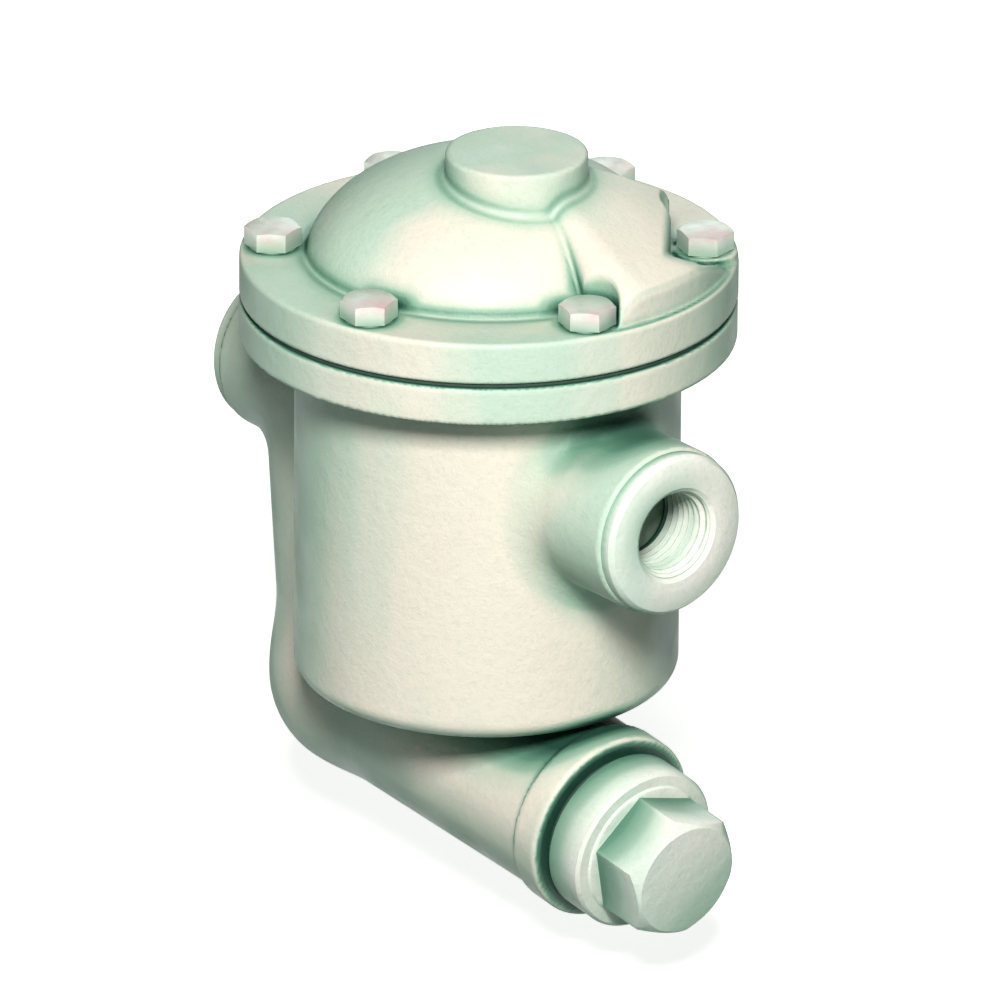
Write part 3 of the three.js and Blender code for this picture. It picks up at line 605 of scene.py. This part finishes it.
def port_end(name, face_x, direction):
    """The machined end of a port in one turned ring: face, rim and the tapped hole with its thread."""
    pitch, per_turn, length = PIPE_PITCH, 14, 20.0
    mouth, crest, root = 14.3, 11.7, 13.1
    rings = [ring(mouth, 0.0), ring(mouth - 0.9, 0.8)]
    for i in range(int(length / pitch * per_turn) - per_turn):
        depth = 0.9 + i * pitch / per_turn
        tooth = np.clip(1.25 - np.abs(thread_phase(depth, pitch) - 0.5) * 3.2, 0, 1)
        shrink = 0.5 * depth / length
        fade = min(1.0, i / per_turn)
        rings.append(ring(root - shrink - (root - crest) * tooth * fade, depth))
    rings += [ring(crest - 0.4, length - 1), ring(crest - 0.4, length), ring(SOCKET_RADIUS + 0.2, length)]
    rings += [ring(SOCKET_RADIUS + 0.2, PORT_RIM_LENGTH + 3), ring(PORT_RIM_RADIUS, PORT_RIM_LENGTH + 3)]
    rings += [ring(PORT_RIM_RADIUS, 1.5), ring(PORT_RIM_RADIUS - 0.3, 1.15)]
    rings += [ring(PORT_RIM_RADIUS - 1.1, 0.1), ring(PORT_RIM_RADIUS - 1.3, 0.0)]
    piece = ring_mesh(name, rings[::-1], closed_loop=True)
    return place_on_axis(piece, (face_x, 0, 0), (direction, 0, 0))


def bolt_mesh(node, index):
    low, high = box_mm(node)
    head_top = high[2] - low[2]
    head = head_top - BOLT_HEAD_HEIGHT
    rings = [ring(3.7, 0), ring(BOLT_RADIUS, 0.9)]
    rings += outside_thread(BOLT_RADIUS, 0.75, BOLT_PITCH, 8, 1, head - 3)
    rings += [ring(BOLT_RADIUS, head - 1.5), ring(BOLT_RADIUS, head)]
    rings += chamfered_hex(BOLT_HEX, head, head_top, foot=0.5)
    bolt = ring_mesh("bolt_%d" % (index + 1), rings)
    uneven = 3 * ((index * 7) % 5 - 2)
    bolt.data.transform(Matrix.Rotation(math.radians(BOLT_TURN + uneven), 4, "Z"))
    bolt.data.transform(Matrix.Translation(Vector((*middle(node), low[2])) * MM))
    return bolt


def strainer_plug():
    """The hexagon cap of the strainer, with its hollow threaded spigot."""
    back, front = PLUG_BACK, PLUG_FRONT
    rings = [ring(6, back - 1), ring(16.7, back - 1), ring(16.7, 0.6), ring(17.2, 0.0), ring(18.6, 0.0)]
    rings += outside_thread(19.6, 1.0, PLUG_PITCH, 10, 0.6, back - 2)
    rings += [ring(19.0, back - 0.6), ring(19.0, back), ring(23.8, back), ring(PLUG_RADIUS, back + 0.7)]
    rings += [ring(PLUG_RADIUS, front - 0.9), ring(23.6, front), ring(20.6, front), ring(20.0, front + 0.6)]
    rings += [ring(np.minimum(hex_radius(PLUG_HEX), 20.0), front + 0.9)]
    rings += chamfered_hex(PLUG_HEX, front + 1.2, front + PLUG_HEX_LENGTH, end_share=0.478, drop=0.85)
    plug = ring_mesh("plug", rings)
    plug.data.transform(Matrix.Rotation(math.radians(PLUG_TURN), 4, "Z"))
    return place_on_axis(plug, STRAINER_ORIGIN, STRAINER_AXIS)


# ---- Materials -------------------------------------------------------------------------------------


MIX_FIRST, MIX_SECOND, MIX_RESULT = 6, 7, 2  # the mix node's colour sockets


class Nodes:
    """Short forms for building a node tree."""

    def __init__(self, name):
        self.material = bpy.data.materials.new(name)
        self.material.use_nodes = True
        self.tree = self.material.node_tree
        self.shader = self.tree.nodes["Principled BSDF"]

    def add(self, kind, **values):
        node = self.tree.nodes.new(kind)
        for key, value in values.items():
            if key in node.inputs:
                node.inputs[key].default_value = value
            else:
                setattr(node, key, value)
        return node

    def link(self, source, target):
        self.tree.links.new(source, target)

    def coords(self):
        return self.add("ShaderNodeTexCoord").outputs["Object"]

    def noise(self, scale, detail=4.0, roughness=0.55, stretch=(1, 1, 1)):
        node = self.add("ShaderNodeTexNoise", Scale=scale, Detail=detail, Roughness=roughness)
        mapping = self.add("ShaderNodeMapping", Scale=stretch)
        self.link(self.coords(), mapping.inputs["Vector"])
        self.link(mapping.outputs["Vector"], node.inputs["Vector"])
        return node.outputs["Fac"]

    def attribute(self, name):
        return self.add("ShaderNodeAttribute", attribute_name=name).outputs["Fac"]

    def ramp(self, source, low, high, low_value=0.0, high_value=1.0):
        node = self.add("ShaderNodeMapRange")
        node.inputs["From Min"].default_value = low
        node.inputs["From Max"].default_value = high
        node.inputs["To Min"].default_value = low_value
        node.inputs["To Max"].default_value = high_value
        self.link(source, node.inputs["Value"])
        return node.outputs["Result"]

    def mix(self, factor, first, second):
        node = self.add("ShaderNodeMix", data_type="RGBA")
        self.link(factor, node.inputs["Factor"])
        for place, value in ((MIX_FIRST, first), (MIX_SECOND, second)):
            if isinstance(value, tuple):
                node.inputs[place].default_value = (*value, 1)
            else:
                self.link(value, node.inputs[place])
        return node.outputs[MIX_RESULT]

    def bump(self, height, strength, distance, normal=None):
        node = self.add("ShaderNodeBump", Strength=strength, Distance=distance)
        self.link(height, node.inputs["Height"])
        if normal is not None:
            self.link(normal, node.inputs["Normal"])
        return node.outputs["Normal"]

    def finish(self, color=None, roughness=None, normal=None, **fixed):
        if color is not None:
            self.link(color, self.shader.inputs["Base Color"])
        if roughness is not None:
            self.link(roughness, self.shader.inputs["Roughness"])
        if normal is not None:
            self.link(normal, self.shader.inputs["Normal"])
        for key, value in fixed.items():
            self.shader.inputs[key.replace("_", " ")].default_value = value
        return self.material


CREAM = (0.82, 0.77, 0.67)
MINT = (0.56, 0.71, 0.59)
PINK = (0.83, 0.66, 0.62)
# SAGE, MOSS and DEEP_GREEN are painted shade in corners and on edge-on sides; SAGE is also the fine speckle
SAGE = (0.30, 0.50, 0.38)
MOSS = (0.09, 0.25, 0.17)
DEEP_GREEN = (0.012, 0.06, 0.04)
# PALE_CREAM and PALE_MINT make a lighter copy of the casting paint: partly the bright machined faces,
# partly painted light where the lamps light them weakly
PALE_CREAM = (0.93, 0.91, 0.85)
PALE_MINT = (0.76, 0.86, 0.77)

# The painted shade: the attribute, where each starts and is full, its strength and its colour
PAINTED_SHADES = (
    ("edge_on_shade", 0.12, 0.60, 0.75, SAGE),
    ("edge_on_shade", 0.50, 1.0, 0.80, MOSS),
    ("crevice_shade", 0.05, 0.28, 0.8, SAGE),
    ("crevice_shade", 0.20, 0.45, 0.9, MOSS),
    ("crevice_shade", 0.42, 0.68, 1.0, DEEP_GREEN),
)


def painted_casting(name, pale, wash):
    """Cast iron under hand-tinted paint, streaked and speckled, with painted shade: darker in corners and
    where it is edge-on to a fixed direction.
    """
    n = Nodes(name)
    streaks = n.noise(16, 3, 0.5, stretch=(1, 1, 0.18))
    tint = n.mix(n.ramp(streaks, 0.47, 0.60), pale, wash)
    tint = n.mix(n.ramp(n.noise(21, 4, 0.6, stretch=(1, 1, 0.3)), 0.58, 0.74, 0, 0.40), tint, PINK)
    tint = n.mix(n.ramp(n.noise(700, 3), 0.50, 0.80, 0, 0.22), tint, SAGE)
    # Painted shade in corners and on edge-on sides
    for attribute, start, full, strength, color in PAINTED_SHADES:
        tint = n.mix(n.ramp(n.attribute(attribute), start, full, 0, strength), tint, color)
    grain = n.bump(n.noise(1500, 3), 0.25, 0.0004)
    cast = n.bump(n.noise(260, 5, 0.6), 0.35, 0.0009, grain)
    return n.finish(tint, n.ramp(n.noise(60), 0.3, 0.7, 0.42, 0.62), cast, Metallic=0.0)


def machined_steel(name, color, roughness, scale):
    n = Nodes(name)
    tint = n.mix(n.ramp(n.noise(scale), 0.35, 0.7), color, tuple(c * 0.72 for c in color))
    rough = n.ramp(n.noise(scale * 3), 0.3, 0.7, roughness * 0.8, roughness * 1.3)
    return n.finish(tint, rough, n.bump(n.noise(scale * 20, 2), 0.15, 0.0003), Metallic=0.9)


def bolt_finish():
    n = Nodes("bolt_finish")
    tint = n.mix(n.ramp(n.noise(70, 4), 0.40, 0.62), (0.78, 0.81, 0.75), (0.76, 0.56, 0.57))
    tint = n.mix(n.ramp(n.noise(160, 3), 0.52, 0.72, 0, 0.5), tint, (0.42, 0.58, 0.48))
    # Painted shade on the sides of the bolts that are edge-on to the fixed direction
    tint = n.mix(n.ramp(n.attribute("edge_on_shade"), 0.12, 0.70, 0, 0.85), tint, SAGE)
    return n.finish(tint, n.ramp(n.noise(200), 0.3, 0.7, 0.32, 0.52), n.bump(n.noise(900, 3), 0.2, 0.0003),
                    Metallic=0.25)


def gasket_sheet():
    n = Nodes("gasket_sheet")
    tint = n.mix(n.noise(400, 4), (0.02, 0.05, 0.035), (0.05, 0.09, 0.07))
    return n.finish(tint, n.ramp(n.noise(300), 0.3, 0.7, 0.75, 0.95), n.bump(n.noise(1200), 0.4, 0.0003))


def coat(node, material):
    """Gives a CAD solid that is shown as it is a material."""
    frame["nodes"][node].data.materials.clear()
    frame["nodes"][node].data.materials.append(material)


def dress(piece, material, body="root", replaces=()):
    """Gives a piece its material, the body that it rides on and the CAD solids it stands for."""
    piece.data.materials.clear()
    piece.data.materials.append(material)
    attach(piece, body)
    if replaces:
        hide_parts(*replaces)
    return piece


# ---- The trap --------------------------------------------------------------------------------------

CASTING = painted_casting("painted_casting", CREAM, MINT)
# A lighter copy of the casting paint for the port ends and the strainer cap: partly bare machined faces,
# partly painted light
TURNED_LIT = painted_casting("painted_turned_lit", PALE_CREAM, PALE_MINT)
STEEL = machined_steel("stainless", (0.62, 0.63, 0.64), 0.3, 60)
BOLT = bolt_finish()
SHEET = gasket_sheet()


body = sculpt("trap_body", body_distance, body_low, body_high, BODY_CELL)
dress(body, CASTING, replaces=["body"])
cap = sculpt("trap_cap", cap_distance, cap_low, cap_high, CAP_CELL)
dress(cap, CASTING, replaces=["cap"])

for port, face, direction in (("inlet", INLET_FACE, 1), ("outlet", OUTLET_FACE, -1)):
    end = port_end(port + "_port_end", face, direction)
    give_painted_shade(end)
    dress(end, TURNED_LIT)

for index, node in enumerate(BOLT_NODES):
    bolt = bolt_mesh(node, index)
    give_painted_shade(bolt)
    dress(bolt, BOLT, replaces=[node])

plug = strainer_plug()
give_painted_shade(plug)
dress(plug, TURNED_LIT, "strainer_plug", ["strainer_cap"])

for node in ("cap_gasket", "strainer_gasket"):
    coat(node, SHEET)
for node in ("valve_seat", "guide_pin_1", "guide_pin_2", "lever", "valve_head", "valve_retainer", "bucket",
             "bucket_clip", "inlet_tube", "strainer_screen"):
    coat(node, STEEL)

# ---- Stage -----------------------------------------------------------------------------------------

AZIMUTH, ELEVATION, ROLL = math.radians(51.4), math.radians(22.6), math.radians(0.4)
AIM = Vector((AXIS_X, 0, -17.5)) * MM
DISTANCE = 5.0
SIDESTEP = 0.0037  # how far the camera stands to the right of its aim, in metres like the rest
VIEW_WIDTH = 0.2880
SENSOR_WIDTH = 36  # millimetres, as cameras are set
FLOOR_DROP = 16.0  # millimetres of room under the trap, for the strainer that is drawn out on a slant


def make_camera():
    data = bpy.data.cameras.new("camera")
    data.sensor_width = SENSOR_WIDTH
    data.lens = SENSOR_WIDTH * DISTANCE / VIEW_WIDTH
    data.clip_end = 20
    camera = bpy.data.objects.new("camera", data)
    bpy.context.scene.collection.objects.link(camera)
    back = Vector((math.sin(AZIMUTH) * math.cos(ELEVATION), -math.cos(AZIMUTH) * math.cos(ELEVATION),
                   math.sin(ELEVATION)))
    turn = (-back).to_track_quat("-Z", "Y") @ Matrix.Rotation(ROLL, 3, "Z").to_quaternion()
    right, up = turn @ Vector((1, 0, 0)), turn @ Vector((0, 1, 0))
    camera.location = AIM + right * SIDESTEP + back * DISTANCE
    camera.rotation_mode = "QUATERNION"
    camera.rotation_quaternion = turn
    bpy.context.scene.camera = camera


def make_floor():
    bpy.ops.mesh.primitive_plane_add(size=12, location=(AXIS_X * MM, 0, (body_low[2] - FLOOR_DROP) * MM))
    floor = bpy.context.object
    floor.name = "floor"
    n = Nodes("pale_floor")
    tint = n.mix(n.noise(3), (0.90, 0.90, 0.885), (0.93, 0.93, 0.92))
    n.link(tint, n.shader.inputs["Emission Color"])
    floor.data.materials.append(n.finish(tint, Roughness=0.9, Emission_Strength=0.80))
    floor.visible_diffuse = False


def area_light(name, location, size, power, color=(1, 1, 1)):
    data = bpy.data.lights.new(name, "AREA")
    data.size = size
    data.energy = power
    data.color = color
    light = bpy.data.objects.new(name, data)
    bpy.context.scene.collection.objects.link(light)
    light.location = AIM + Vector(location)
    light.rotation_mode = "QUATERNION"
    light.rotation_quaternion = (AIM - light.location).to_track_quat("-Z", "Y")


def make_world():
    """White where it is seen, and a weak green fill where it lights the trap."""
    world = bpy.data.worlds.new("studio")
    world.use_nodes = True
    tree = world.node_tree
    fill = tree.nodes["Background"]
    fill.inputs["Color"].default_value = (0.74, 1.0, 0.86, 1)
    fill.inputs["Strength"].default_value = 0.09
    seen = tree.nodes.new("ShaderNodeBackground")
    seen.inputs["Color"].default_value = (0.985, 0.985, 0.98, 1)
    choose = tree.nodes.new("ShaderNodeMixShader")
    path = tree.nodes.new("ShaderNodeLightPath")
    tree.links.new(path.outputs["Is Camera Ray"], choose.inputs["Fac"])
    tree.links.new(fill.outputs["Background"], choose.inputs[1])
    tree.links.new(seen.outputs["Background"], choose.inputs[2])
    tree.links.new(choose.outputs["Shader"], tree.nodes["World Output"].inputs["Surface"])
    bpy.context.scene.world = world


def make_lights():
    area_light("key", (0.979, -0.793, 0.985), size=0.35, power=32, color=(1.0, 0.985, 0.95))
    area_light("back", (-0.85, 0.95, 0.45), size=0.8, power=4.5)
    make_world()
    bpy.context.scene.view_settings.view_transform = "Standard"


make_camera()
make_floor()
make_lights()
